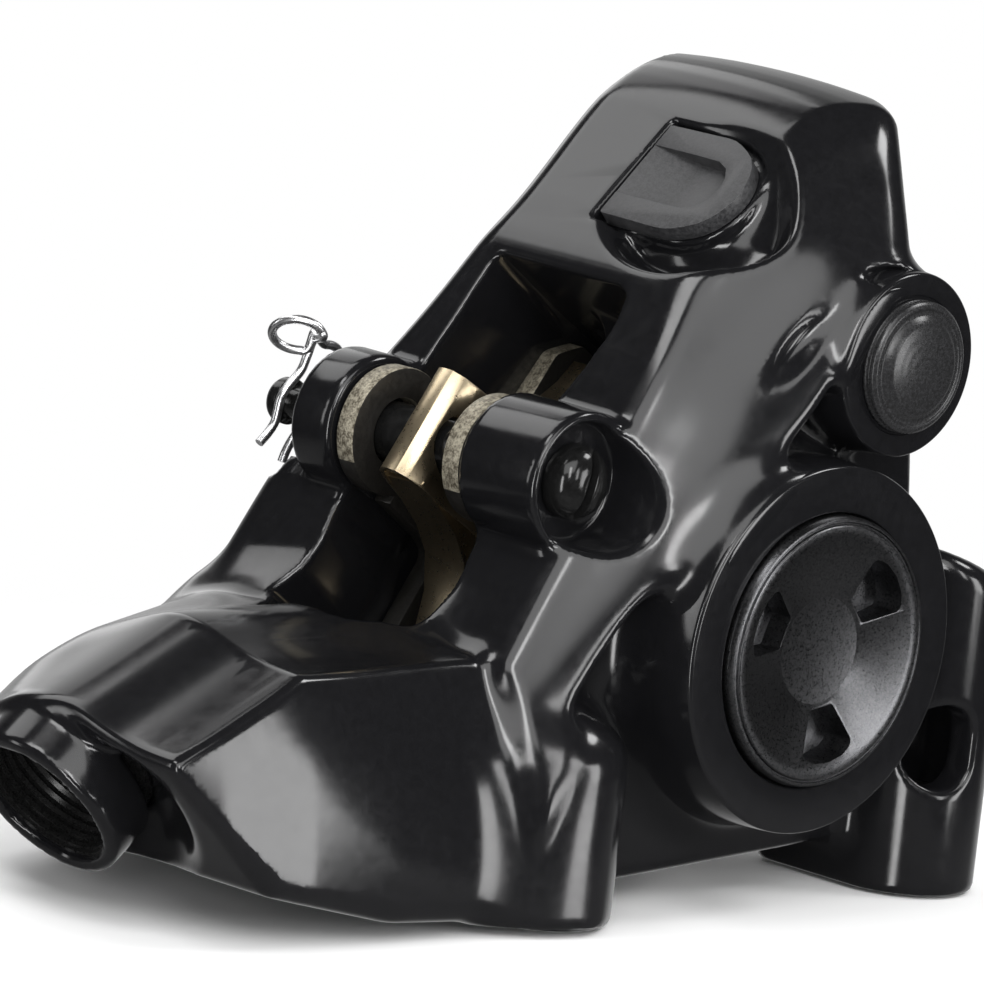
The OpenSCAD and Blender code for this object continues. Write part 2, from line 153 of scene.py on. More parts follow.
BLOCK_SIDE = soften([(-21, 0.5), (-23.1, 16.5), (-7.6, 39.6), (-5, 42.2), (1.6, 48.3), (4.6, 50.9),
                     (7.2, 51.9), (10.4, 51.9), (12.8, 50.2), (13.6, 44), (14.4, 36), (15.2, 26),
                     (15.8, 3.1)],
                    [0.6, 1, 8, 8, 8, 9, 6, 3, 3, 12, 20, 20, 0.6])
TAIL_SIDE = soften([(-17, 0.4), (-32, 1.0), (-40, 2.7), (-42.3, 3.2), (-50.6, 11.5), (-40, 16.55), (-17, 16.5)],
                   [0, 8, 3, 1.5, 0.6, 0.5, 0])
TAIL_PLAN = soften([(-51, 3), (-50.8, -0.6), (-46.4, -2.0), (-39.9, -3.0), (-33, -3.3), (-24, -3.6), (-17, -3.6),
                    (-17, 30.2), (-30, 27), (-40, 24.4), (-46, 22), (-51, 19)],
                   [1, 1, 6, 8, 8, 6, 0, 0, 8, 6, 3, 2])
POCKET_SIDE = soften([(-14, -10), (-14, 40), (13, 40), (13, -10), (8, -14), (-9, -14)],
                     [2, 0, 0, 2, 2, 2])
WINDOW = soften([(-14.2, 8.3), (-13.4, 6.5), (-11.5, 6.35), (-9.7, 6.3), (-7.7, 6.6), (-5.9, 6.9),
                 (4.2, 6.8), (7, 6.2), (10.2, 5.75), (12.5, 6.2), (13.2, 7.7), (13.3, 17.2),
                 (12.5, 18), (8, 18.3), (4.5, 18.6), (-6.4, 18.9), (-8.8, 18.5), (-11.3, 18.6),
                 (-13.9, 19.3)], [0.5, 0.8, 1, 2, 2, 1, 1, 2, 3, 1, 1, 0.8, 1, 2, 1, 1, 2, 2, 0.5])
UNDERSIDE = soften([(-50, -60), (-50, 3), (-30, 3), (-14.5, -7), (-8, -12.6), (8, -12.6), (14, -7),
                    (24, -1), (60, 6), (60, -60)], [0, 0, 4, 3, 6, 6, 3, 6, 0, 0])
STEP_PLAN = soften([(-15, 8.4), (-18, 8.4), (-22.1, 7.7), (-26.1, 7.8), (-28.7, 8.8), (-28.6, 12.3),
                    (-27.9, 14.8), (-27, 17.2), (-24, 18.4), (-15, 18.4)],
                   [0, 2, 4, 2, 1.2, 4, 3, 2, 1.5, 0])
INNER_EDGE = [(-15, 26.2), (-12, 25.9), (-6, 25.8), (-4, 25.0), (4.5, 22.2), (9, 21.0), (13, 20.2),
              (18, 19.2), (25, 18.7), (29, 18.0), (33, 17.4)]

RAIL_TOP = [(-30, 20.5), (-14, 17.8), (-10, 17.2), (-6.1, 16.45), (-2.2, 15.8), (4, 14.95),
            (8.5, 14.3), (12.1, 13.5), (16, 12.7), (19.9, 12.0), (26, 9.07), (33, 5.6)]
RAIL_FRONT = [(-30, -1.6), (-14, -1.7), (-10, -1.9), (-6.1, -2.3), (-2.2, -2.7), (4, -3.3),
              (8.5, -3.4), (33, -3.4)]
FACET_LEAN = [(-30, 0.8), (4, 0.8), (8.5, 0.84), (13, 0.83), (19.9, 0.95), (33, 0.95)]
RAIL_FOOT = [(-40, 10), (-16, 12.4), (-12.1, 13.5), (-7.7, 13.4), (-4.1, 12.8), (-0.1, 11.8),
             (4.7, 11.1), (11.9, 9.5), (19.8, 8.7), (22.3, 7.6), (26, 1), (40, -20)]


def bleed_frame(x, y, z):
    """places on the face of the bleed boss: along the slope, across it, and out of it"""
    c, s = math.cos(BLEED_TURN), math.sin(BLEED_TURN)
    dx, dz = x - BLEED_SPOT[0], z - BLEED_SPOT[2]
    return dx * c + dz * s, y - BLEED_SPOT[1], -dx * s + dz * c


def port_frame(x, y, z):
    """distance from the axis of the hose port, and the place along it, out of the mouth"""
    c, s = math.cos(PORT_TURN), math.sin(PORT_TURN)
    dx, dz = x - PORT_SPOT[0], z - PORT_SPOT[2]
    return np.hypot(dx * c - dz * s, y - PORT_SPOT[1]), dx * s + dz * c


def casting(x, y, z):
    """the whole body: negative inside the metal, positive outside"""
    u = x * SLOPE_COS + (z - CYLINDER_Z) * SLOPE_SIN
    n = -x * SLOPE_SIN + (z - CYLINDER_Z) * SLOPE_COS
    from_bore = np.hypot(x, z - CYLINDER_Z)

    # the sloping block: top face, outer facet, soft rail, hollow below it
    n1, lean, n2 = along(u, RAIL_TOP), along(u, FACET_LEAN), along(u, RAIL_FOOT)
    y1 = along(u, RAIL_FRONT)
    top = n - TOP_FACE
    facet = (n - n1 - lean * (y - y1)) / np.sqrt(1.08 + lean ** 2)
    front = (y1 - 0.42 * (n1 - n) - y) / 1.08
    front = np.where(u > 20, np.maximum(front, -4.6 - y), front)
    foot = (n2 - n) / 1.05
    crown = both(top, facet, 0.5 + 2.6 * np.clip((u - 15.5) / 5, 0, 1))
    rail = both(both(crown, front, 1.8), foot, 1.0)
    wall = both(crown, 0.7 - y, 1.0)
    block = either(rail, wall, 2.4)
    bevel = (y - along(u, INNER_EDGE) + (n - TOP_FACE) * 0.625) / 1.18
    low_end = np.clip((-1 - u) / 6, 0, 1)
    block = both(block, both(y - 31.5, bevel, 2.5), 0.9 + 0.9 * low_end)
    block = both(block, outline(x, z, BLOCK_SIDE), 1.0)
    block = both(block, np.hypot(y - 12, z - 11.7) - 40.9, 4.0)
    block = both(block, (0.714 * x - 0.7 * y + 0.2 * z - 15.81) / 1.02, 1.6)

    # the low tail with the hose end
    outer_side = both(0.075 * x - 0.926 * y + 0.369 * z - 3.62, -0.12 * x - 0.96 * y + 0.254 * z - 9.47, 1.0)
    hump = 1.6 * np.exp(-((y - 10.5) / 5) ** 2) * np.clip((z - 7) / 4, 0, 1)
    tail = both(outline(x, z - hump, TAIL_SIDE), outer_side, 0.45)
    tail = both(tail, outline(x, y, TAIL_PLAN), 1.5)
    tail = both(tail, -0.188 * x + 0.425 * y + 0.886 * z - 29.13, 0.8)
    tail = both(tail, -0.45 * x + 0.75 * y + 0.48 * z - 40.9, 2.0)

    # the mount legs
    def leg(mount_x, top_plane, edge):
        round_front = np.hypot(x - mount_x, np.minimum(y, 0)) - LEG_RADIUS
        return both(both(both(round_front, y - 9, 2), top_plane, edge), -z, 0.4)

    low_leg = leg(-MOUNT_X, z - 13.0, 3.2)
    tall_leg = leg(MOUNT_X, (z - 21.6 + 0.42 * (x - 16) + 0.1 * y) / 1.1, 1.6)

    # bosses of the outer cylinder, the valve and the hose port
    from_valve = np.hypot(x - VALVE_X, z - VALVE_Z)
    boss = both(both(from_bore - 11.8 - 0.06 * (y + 6.2), -6.2 - y, 0.45), y - 6, 1)
    valve = both(both(from_valve - 5.9 - 0.07 * (y + 4.8), -4.75 - y, 0.3), y - 4, 1)
    port_r, port_w = port_frame(x, y, z)
    port = both(both(port_r - 5.7, port_w, 0.35), -3.8 - port_w, 0.5)

    # all joined, with wider fillets towards the inner side
    base = either(tail, low_leg, 5.0)
    inwards = np.clip((y - 2) / 6, 0, 1)
    inwards = inwards * inwards * (3 - 2 * inwards)
    whole = both(either(block, base, 1.2) * (1 - inwards) + either(block, base, 3.6) * inwards, 0.4 - z, 0.3)

    def join(shape, fillet):
        nonlocal whole
        whole = either(whole, shape, fillet)

    def cut(shape, edge=0.0):
        nonlocal whole
        whole = without(whole, shape, edge)

    join(low_leg, 0.3)
    join(tall_leg, 1.6)
    join(boss, 2.4)
    join(valve, 1.3)
    scoop = both(port_r - 7.4 - 1.1 * np.maximum(port_w + 5.0, 0), -5.0 - port_w, 1.2)
    cut(both(scoop, both(y - 10.5, z - 11.2, 1.0), 2.0), 0.6)
    join(port, 0.8)
    inner_boss = both(both(from_bore - 12.6 + 0.05 * (y - 26), y - 31.8, 1.8), 19.3 - y, 0.5)
    join(inner_boss, 3.0)

    # leaf shaped hollows in the rail
    leaf_u = (x + 2.1) * 0.72 + (z - 36.5) * 0.694
    leaf_n = -(x + 2.1) * 0.694 + (z - 36.5) * 0.72
    leaf = np.sqrt((leaf_u / 3.8) ** 2 + (leaf_n / 1.05) ** 2 + ((y + 4.5) / 2.0) ** 2) - 1
    cut(leaf, 0.25)
    small_leaf = (np.sqrt(((x - 4.4) / 2.2) ** 2 + ((z - 40.9) / 0.6) ** 2 + ((y + 4.2) / 1.2) ** 2) - 1) * 0.7
    cut(small_leaf, 0.25)

    # flared boss of the bleed port, in a dip of the block
    bu, bv, bw = bleed_frame(x, y, z)
    from_d = np.where(bv > 0, np.abs(bu), np.hypot(bu, bv)) - 3.95
    dip_floor = -3.4 + 0.5 * np.maximum(bu + 1.5, 0) + 0.3 * np.maximum(-3.5 - bu, 0)
    dip = np.hypot((bu + 0.9) * 1.12, bv + 1.2) - 5.7 - 0.35 * np.maximum(bw + 3.4, 0)
    dip = both(both(dip, dip_floor - bw, 0.8), bv - 5.3, 0.4)
    cut(dip, 0.8)
    flare = from_d - 0.1 * np.maximum(-1.2 - bw, 0) - 0.7 * np.maximum(-2.0 - bw, 0)
    flare = both(both(flare, bv - 5.4, 0.3), bw + 1.15, 0.25)
    flare = both(flare, -9 - bw, 0.5)

    # pocket of the pads, rotor slot and underside
    pocket = both(outline(u, y, WINDOW), outline(u, n, POCKET_SIDE))
    slot = np.maximum(np.abs(y - ROTOR_Y) - 2.2, np.hypot(u, n + 71) - 82)
    under = np.maximum(outline(u, n, UNDERSIDE), ROTOR_Y - y)
    cut(pocket, 0.3)
    cut(slot, 0.3)
    cut(under, 0.6)
    join(flare, 1.3)

    # ears of the pad pin
    from_pin = np.hypot(x - PIN_X, z - PIN_Z)
    foot_width = np.abs(u - PIN_U) - 4.2 - 0.1 * np.maximum(PIN_N - n, 0)
    lug = np.minimum(from_pin - 4.6, np.maximum(foot_width, np.maximum(n - PIN_N, 12 - n)))
    ear = both(lug, np.abs(y - 3.9) - 3.35, 0.35)
    far_ear = both(lug, np.abs(y - 20.52) - 1.77, 0.5)
    join(ear, 0.8)
    join(far_ear, 0.8)

    # machined bores and seats
    bore = outline(from_bore, y, np.array([
        (-1, -12), (9.15, -12), (8.87, -5.9), (8.87, -3.9), (8.5, -3.9), (8.5, -2.4), (PISTON_BORE, -2.4),
        (PISTON_BORE, 1.5), (SEAL_GROOVE, 1.5), (SEAL_GROOVE, 3.5), (PISTON_BORE, 3.5), (PISTON_BORE, 7.7), (-1, 7.7)]))
    far_bore = outline(from_bore, y, np.array([
        (-1, 18.3), (PISTON_BORE, 18.3), (PISTON_BORE, 22.5), (SEAL_GROOVE, 22.5), (SEAL_GROOVE, 24.5),
        (PISTON_BORE, 24.5), (PISTON_BORE, 28.5), (-1, 28.5)]))
    cut(bore, 0.15)
    cut(far_bore, 0.15)
    for mount_x in (-MOUNT_X, MOUNT_X):
        hole = both(np.hypot(x - mount_x, y) - MOUNT_BORE - np.maximum(0.6 - z, 0), z - 12, 0.3)
        cut(hole)
    leg_window = np.hypot(x - 15.2, np.maximum(np.abs(z - 9.75) - 0.75, 0)) - 2
    cut(both(leg_window, y, 0.3), 0.5)
    cut(both(both(port_r - PORT_BORE, -5.6 - port_w, 0.2), port_w - 3))
    head_seat = both(from_pin - 3.9 - 0.1 * np.maximum(0.8 - y, 0), y - 2, 0.3)
    cut(head_seat, 0.25)
    cut(both(from_pin - 3.3, 22.3 - y))
    cut(both(from_pin - 4.8, 25.3 - y, 0.4), 0.2)
    cut(np.maximum(from_pin - 1.98, np.abs(y - 12) - 12))
    cut(both(both(from_d - 0.45, bv - 5.6), -1.2 - bw), 0.1)
    cut(both(np.hypot(bu, bv) - 3.1, np.maximum(-4 - bw, bw - 4)))
    cut(both(np.hypot(bu, bv) - 2.5, np.maximum(-9 - bw, bw - 4)))
    cut(both(from_valve - 3.25, y - 1.5, 0.2))
    cut(both(outline(x, y, STEP_PLAN), 14.9 - z, 0.2), 0.2)
    return whole


def skin(f, low, step):
    """a closed mesh of quads where the field is zero"""
    inside = f < 0
    shape = np.array(f.shape) - 1

    def cell(a, c):
        return a[c[0]:c[0] + shape[0], c[1]:c[1] + shape[1], c[2]:c[2] + shape[2]]

    corners = [(i, j, k) for i in (0, 1) for j in (0, 1) for k in (0, 1)]
    count = sum(cell(inside, c).astype(np.int8) for c in corners)
    active = (count > 0) & (count < 8)
    number = np.full(active.shape, -1, np.int64)
    cells = np.argwhere(active)
    number[active] = np.arange(len(cells))
    place, hits = np.zeros((len(cells), 3)), np.zeros(len(cells))
    for a in corners:
        for axis in range(3):
            if a[axis]:
                continue
            b = tuple(1 if i == axis else v for i, v in enumerate(a))
            fa, fb = cell(f, a)[active], cell(f, b)[active]
            met = (fa < 0) != (fb < 0)
            place[met] += np.array(a)
            place[met, axis] += fa[met] / (fa[met] - fb[met])
            hits[met] += 1
    points = low + step * (cells + place / hits[:, None])
    quads = []
    for axis in range(3):
        o1, o2 = [(1, 2), (2, 0), (0, 1)][axis]
        first = [slice(None)] * 3
        second = [slice(None)] * 3
        first[axis], second[axis] = slice(0, -1), slice(1, None)
        s0, s1 = inside[tuple(first)], inside[tuple(second)]
        at = np.argwhere(s0 != s1)
        ok = (at[:, o1] > 0) & (at[:, o2] > 0) & (at[:, o1] < shape[o1]) & (at[:, o2] < shape[o2])
        at = at[ok]
        e1, e2 = np.zeros(3, int), np.zeros(3, int)
        e1[o1], e2[o2] = 1, 1
        ring = np.stack([number[tuple((at - d).T)] for d in (0 * e1, e1, e1 + e2, e2)], 1)
        flip = ~s0[tuple(at.T)]
        ring[flip] = ring[flip][:, ::-1]
        quads.append(ring)
    return points, np.concatenate(quads)


def sample(grid, places):
    """values of a grid between its points"""
    top = np.array(grid.shape[:3]) - 2
    base = np.clip(np.floor(places).astype(int), 0, top)
    t = places - base
    out = 0
    for i in (0, 1):
        for j in (0, 1):
            for k in (0, 1):
                w = (np.abs(1 - i - t[:, 0]) * np.abs(1 - j - t[:, 1]) * np.abs(1 - k - t[:, 2]))
                v = grid[base[:, 0] + i, base[:, 1] + j, base[:, 2] + k]
                out = out + (w[:, None] * v if grid.ndim == 4 else w * v)
    return out


def settle(obj):
    """turns what the modifiers make into the object's own mesh"""
    graph = bpy.context.evaluated_depsgraph_get()
    made = bpy.data.meshes.new_from_object(obj.evaluated_get(graph))
    obj.modifiers.clear()
    obj.data = made
    return obj


def make_casting(step, most):
    """the casting as a closed mesh of at most so many triangles, its normals taken from the formulas"""
    low, high = np.array([-54.2, -7.6, -1.0]), np.array([23.2, 33.0, 52.0])
    xs, ys, zs = [np.arange(a, b, step) for a, b in zip(low, high)]
    f = casting(xs[:, None, None], ys[None, :, None], zs[None, None, :])
    f = np.broadcast_to(f, (len(xs), len(ys), len(zs))).astype(float)
    points, quads = skin(f, low, step)
    slope = np.stack(np.gradient(f, step), -1)
    for _ in range(3):
        places = (points - low) / step
        d, g = sample(f, places), sample(slope, places)
        points = points - g * (np.clip(d, -0.3, 0.3) / np.maximum((g * g).sum(1), 0.05))[:, None]
    mesh = bpy.data.meshes.new("casting")
    mesh.from_pydata((points * MM).tolist(), [], quads.tolist())
    mesh.update()
    obj = bpy.data.objects.new("housing_casting", mesh)
    bpy.context.scene.collection.objects.link(obj)
    if 2 * len(quads) > most:
        thin = obj.modifiers.new("thin", "DECIMATE")
        thin.ratio = most / (2 * len(quads))
        mesh = settle(obj).data
    co = np.zeros(len(mesh.vertices) * 3)
    mesh.vertices.foreach_get("co", co)
    g = sample(slope, (co.reshape(-1, 3) / MM - low) / step)
    g /= np.maximum(np.linalg.norm(g, axis=1), 1e-9)[:, None]
    mesh.polygons.foreach_set("use_smooth", np.ones(len(mesh.polygons), bool))
    mesh.normals_split_custom_set_from_vertices(g.tolist())
    return obj


FINE_STEP, QUICK_STEP, MOST_TRIANGLES = 0.3, 0.6, 190000
housing = make_casting(FINE_STEP, MOST_TRIANGLES)
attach(housing, "housing")
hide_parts("caliper_body")


# ---- working tools for the other pieces, in millimetres until they are put in place ----

def frame_at(origin, across, along_y, out):
    """a frame whose third direction is the axis of what is made in it"""
    return Matrix([[across[i], along_y[i], out[i], origin[i]] for i in range(3)] + [[0, 0, 0, 1]])


def crossways(x, z):
    """a frame for what is turned about an axis that runs across the caliper"""
    return frame_at((x, 0, z), (1, 0, 0), (0, 0, -1), (0, 1, 0))


CAP_PLACE = crossways(0, CYLINDER_Z)
VALVE_PLACE = crossways(VALVE_X, VALVE_Z)
PIN_PLACE = crossways(PIN_X, PIN_Z)
BLEED_PLACE = frame_at(BLEED_SPOT, (math.cos(BLEED_TURN), 0, math.sin(BLEED_TURN)), (0, 1, 0),
                       (-math.sin(BLEED_TURN), 0, math.cos(BLEED_TURN)))
PORT_PLACE = frame_at(PORT_SPOT, (math.cos(PORT_TURN), 0, -math.sin(PORT_TURN)), (0, 1, 0),
                      (math.sin(PORT_TURN), 0, math.cos(PORT_TURN)))
SLOPE_PLACE = frame_at((0, 0, CYLINDER_Z), (SLOPE_COS, 0, SLOPE_SIN), (-SLOPE_SIN, 0, SLOPE_COS), (0, 1, 0))


def new_object(bm, name):
    """an object of the scene from a mesh in millimetres"""
    for v in bm.verts:
        v.co *= MM
    mesh = bpy.data.meshes.new(name)
    bm.to_mesh(mesh)
    bm.free()
    obj = bpy.data.objects.new(name, mesh)
    bpy.context.scene.collection.objects.link(obj)
    return obj


def solid_of(bm, name):
    """a closed solid with its faces turned outwards"""
    bmesh.ops.remove_doubles(bm, verts=bm.verts, dist=1e-5)
    bmesh.ops.recalc_face_normals(bm, faces=bm.faces)
    return new_object(bm, name)


def lathe(name, profile, place, sides=128, ring=False):
    """a turned solid from (radius, place along the axis) pairs"""
    bm = bmesh.new()
    rows = []
    for r, w in profile:
        if r < 1e-6:
            rows.append([bm.verts.new(place @ Vector((0, 0, w)))])
            continue
        turns = [2 * math.pi * k / sides for k in range(sides)]
        rows.append([bm.verts.new(place @ Vector((r * math.cos(t), r * math.sin(t), w))) for t in turns])
    pairs = list(zip(rows, rows[1:])) + ([(rows[-1], rows[0])] if ring else [])
    for a, b in pairs:
        for k in range(sides):
            j = (k + 1) % sides
            if len(a) > 1 and len(b) > 1:
                bm.faces.new((a[k], a[j], b[j], b[k]))
            elif len(b) > 1:
                bm.faces.new((a[0], b[j], b[k]))
            elif len(a) > 1:
                bm.faces.new((a[k], a[j], b[0]))
    return solid_of(bm, name)


def prism(name, points, low, high, place):
    """an outline given a thickness"""
    bm = bmesh.new()
    under, over = ([bm.verts.new(place @ Vector((a, b, w))) for a, b in points] for w in (low, high))
    bm.faces.new(under)
    bm.faces.new(over)
    for k in range(len(points)):
        j = (k + 1) % len(points)
        bm.faces.new((under[k], under[j], over[j], over[k]))
    return solid_of(bm, name)


def worked(obj, cuts=(), joins=(), edge=0.0, steps=2, angle=28):
    """cuts and joins other solids, then breaks the sharp edges"""
    for kind, others in (("UNION", joins), ("DIFFERENCE", cuts)):
        for other in others:
            m = obj.modifiers.new("work", "BOOLEAN")
            m.operation, m.object, m.solver = kind, other, "EXACT"
    if edge > 0:
        m = obj.modifiers.new("edge", "BEVEL")
        m.width, m.segments, m.limit_method = edge * MM, steps, "ANGLE"
        m.angle_limit = math.radians(angle)
    settle(obj)
    for other in list(cuts) + list(joins):
        bpy.data.objects.remove(other)
    return obj


def dress(obj, body, slot, material, *stands_for, angle=32):
    """smooth shading, a finish, the body that the piece rides and the solid that it stands for"""
    mesh = obj.data
    mesh.polygons.foreach_set("use_smooth", [True] * len(mesh.polygons))
    mesh.set_sharp_from_angle(angle=math.radians(angle))
    if material is not None:
        mesh.materials.clear()
        mesh.materials.append(material)
    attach(obj, body)
    if stands_for:
        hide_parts(*stands_for)


def smooth_path(points, steps=8):
    """a soft curve through all the points"""
    pts = [Vector(p) for p in points]
    pts = [2 * pts[0] - pts[1]] + pts + [2 * pts[-1] - pts[-2]]
    out = []
    for a, b, c, d in zip(pts, pts[1:], pts[2:], pts[3:]):
        for k in range(steps):
            t = k / steps
            out.append(0.5 * (2 * b + (c - a) * t + (2 * a - 5 * b + 4 * c - d) * t * t
                              + (3 * b - a - 3 * c + d) * t ** 3))
    return out + [pts[-2]]


# ---- wire and threads, made by geometry nodes ----

def add_sockets(tree, sockets, way="INPUT"):
    """named sockets of a node group, from (label, kind, value)"""
    for label, kind, value in sockets:
        socket = tree.interface.new_socket(label, in_out=way, socket_type="NodeSocket" + kind)
        if value is not None:
            socket.default_value = value


def swept_tree(name, sizes):
    """a group that leads a section along a curve, closes its ends and gives it a material"""
    tree = bpy.data.node_groups.new(name, "GeometryNodeTree")
    add_sockets(tree, [("Geometry", "Geometry", None)] + sizes + [("Material", "Material", None)])
    add_sockets(tree, [("Geometry", "Geometry", None)], "OUTPUT")
    new, link = tree.nodes.new, tree.links.new
    start, end, section = new("NodeGroupInput"), new("NodeGroupOutput"), new("GeometryNodeCurvePrimitiveCircle")
    sweep, real, paint = (new("GeometryNode" + kind) for kind in ("CurveToMesh", "RealizeInstances", "SetMaterial"))
    sweep.inputs["Fill Caps"].default_value = True
    link(section.outputs[0], sweep.inputs["Profile Curve"])
    link(sweep.outputs[0], real.inputs[0])
    link(real.outputs[0], paint.inputs["Geometry"])
    link(start.outputs["Material"], paint.inputs["Material"])
    link(paint.outputs[0], end.inputs[0])
    return tree, start.outputs, section, sweep


def wire_tree():
    """round wire along the edges of a mesh"""
    tree, start, section, sweep = swept_tree("wire_along_path", [
        ("Wire Radius", "Float", 0.0003), ("Sides", "Int", 16)])
    curve = tree.nodes.new("GeometryNodeMeshToCurve")
    for a, b in ((start["Geometry"], curve.inputs["Mesh"]), (start["Wire Radius"], section.inputs["Radius"]),
                 (start["Sides"], section.inputs["Resolution"]), (curve.outputs[0], sweep.inputs["Curve"])):
        tree.links.new(a, b)
    return tree


def thread_tree():
    """the ridges of a thread, one long spiral"""
    tree, start, section, sweep = swept_tree("thread_in_bore", [
        ("Bore Radius", "Float", 0.0045), ("Rise", "Float", 0.007), ("Turns", "Float", 7.0),
        ("Depth", "Float", 0.0003)])
    spiral = tree.nodes.new("GeometryNodeCurveSpiral")
    spiral.inputs["Resolution"].default_value = 48
    section.inputs["Resolution"].default_value = 4
    for a, b in (("Bore Radius", "Start Radius"), ("Bore Radius", "End Radius"), ("Rise", "Height"),
                 ("Turns", "Rotations")):
        tree.links.new(start[a], spiral.inputs[b])
    tree.links.new(start["Depth"], section.inputs["Radius"])
    tree.links.new(spiral.outputs[0], sweep.inputs["Curve"])
    return tree


def grown(obj, tree, **sizes):
    """runs a geometry tree on an object and keeps the mesh that it makes"""
    m = obj.modifiers.new("grow", "NODES")
    m.node_group = tree
    for item in tree.interface.items_tree:
        label = item.name.lower().replace(" ", "_")
        if getattr(item, "in_out", "") == "INPUT" and label in sizes:
            m[item.identifier] = sizes[label]
    return settle(obj)


def path_object(name, points):
    """a line of points, for a geometry tree to work on"""
    bm = bmesh.new()
    row = [bm.verts.new(p) for p in points]
    for a, b in zip(row, row[1:]):
        bm.edges.new((a, b))
    return new_object(bm, name)


# ---- shader groups ----

def shader_group(name, inputs, outputs):
    """a new group with its own sockets"""
    group = bpy.data.node_groups.new(name, "ShaderNodeTree")
    add_sockets(group, inputs)
    add_sockets(group, [(label, "Float", None) for label in outputs], "OUTPUT")
    return group, group.nodes.new("NodeGroupInput").outputs, group.nodes.new("NodeGroupOutput").inputs


def sum_of(tree, operation, *terms):
    """a maths node whose terms are plain numbers or sockets"""
    node = tree.nodes.new("ShaderNodeMath")
    node.operation = operation
    for socket, term in zip(node.inputs, terms):
        if isinstance(term, (int, float)):
            socket.default_value = term
        else:
            tree.links.new(term, socket)
    return node.outputs[0]


def noise_of(tree, place, scale, detail=2.0):
    """a noise whose scale is a plain number or a socket"""
    noise = tree.nodes.new("ShaderNodeTexNoise")
    tree.links.new(place, noise.inputs["Vector"])
    noise.inputs["Detail"].default_value = detail
    if isinstance(scale, (int, float)):
        noise.inputs["Scale"].default_value = scale
    else:
        tree.links.new(scale, noise.inputs["Scale"])
    return noise.outputs["Fac"]


def grain_group():
    """fine speckle: a mask for colour and roughness, and a height for bump"""
    group, start, end = shader_group("fine_grain", [
        ("Place", "Vector", None), ("Scale", "Float", 2500.0), ("Contrast", "Float", 0.2)], ["Mask", "Height"])
    coarse = noise_of(group, start["Place"], start["Scale"], 3)
    fine = noise_of(group, start["Place"], sum_of(group, "MULTIPLY", start["Scale"], 2.7), 3)
    blend = sum_of(group, "MULTIPLY_ADD", coarse, 0.5, sum_of(group, "MULTIPLY", fine, 0.5))
    spread = group.nodes.new("ShaderNodeMapRange")
    for a, b in ((blend, spread.inputs["Value"]), (blend, end["Height"]), (spread.outputs[0], end["Mask"]),
                 (sum_of(group, "SUBTRACT", 0.5, start["Contrast"]), spread.inputs["From Min"]),
                 (sum_of(group, "ADD", 0.5, start["Contrast"]), spread.inputs["From Max"])):
        group.links.new(a, b)
    return group


def film_group():
    """slow change of gloss, as a coat takes from handling"""
    group, start, end = shader_group("handled_film", [
        ("Place", "Vector", None), ("Scale", "Float", 120.0), ("Amount", "Float", 1.0)], ["Mask"])
    wide = noise_of(group, start["Place"], start["Scale"])
    streak = noise_of(group, start["Place"], 700, 5)
    spread = group.nodes.new("ShaderNodeMapRange")
    spread.inputs["From Min"].default_value, spread.inputs["From Max"].default_value = 0.15, 0.38
    group.links.new(sum_of(group, "MULTIPLY", wide, streak), spread.inputs["Value"])
    group.links.new(sum_of(group, "MULTIPLY", spread.outputs[0], start["Amount"]), end["Mask"])
    return group


def rings_group():
    """fine rings round the third direction, as turning leaves them"""
    group, start, end = shader_group("turned_rings", [
        ("Place", "Vector", None), ("Scale", "Float", 9000.0), ("Uneven", "Float", 0.3)], ["Height"])
    link, new = group.links.new, group.nodes.new
    parts, flat, length = new("ShaderNodeSeparateXYZ"), new("ShaderNodeCombineXYZ"), new("ShaderNodeVectorMath")
    length.operation = "LENGTH"
    link(start["Place"], parts.inputs[0])
    for axis in "XY":
        link(parts.outputs[axis], flat.inputs[axis])
    link(flat.outputs[0], length.inputs[0])
    wave = sum_of(group, "SINE", sum_of(group, "MULTIPLY", length.outputs["Value"], start["Scale"]))
    noise = noise_of(group, start["Place"], 1500)
    link(sum_of(group, "MULTIPLY_ADD", noise, start["Uneven"], wave), end["Height"])
    return group


FINE_GRAIN, HANDLED_FILM, TURNED_RINGS = grain_group(), film_group(), rings_group()


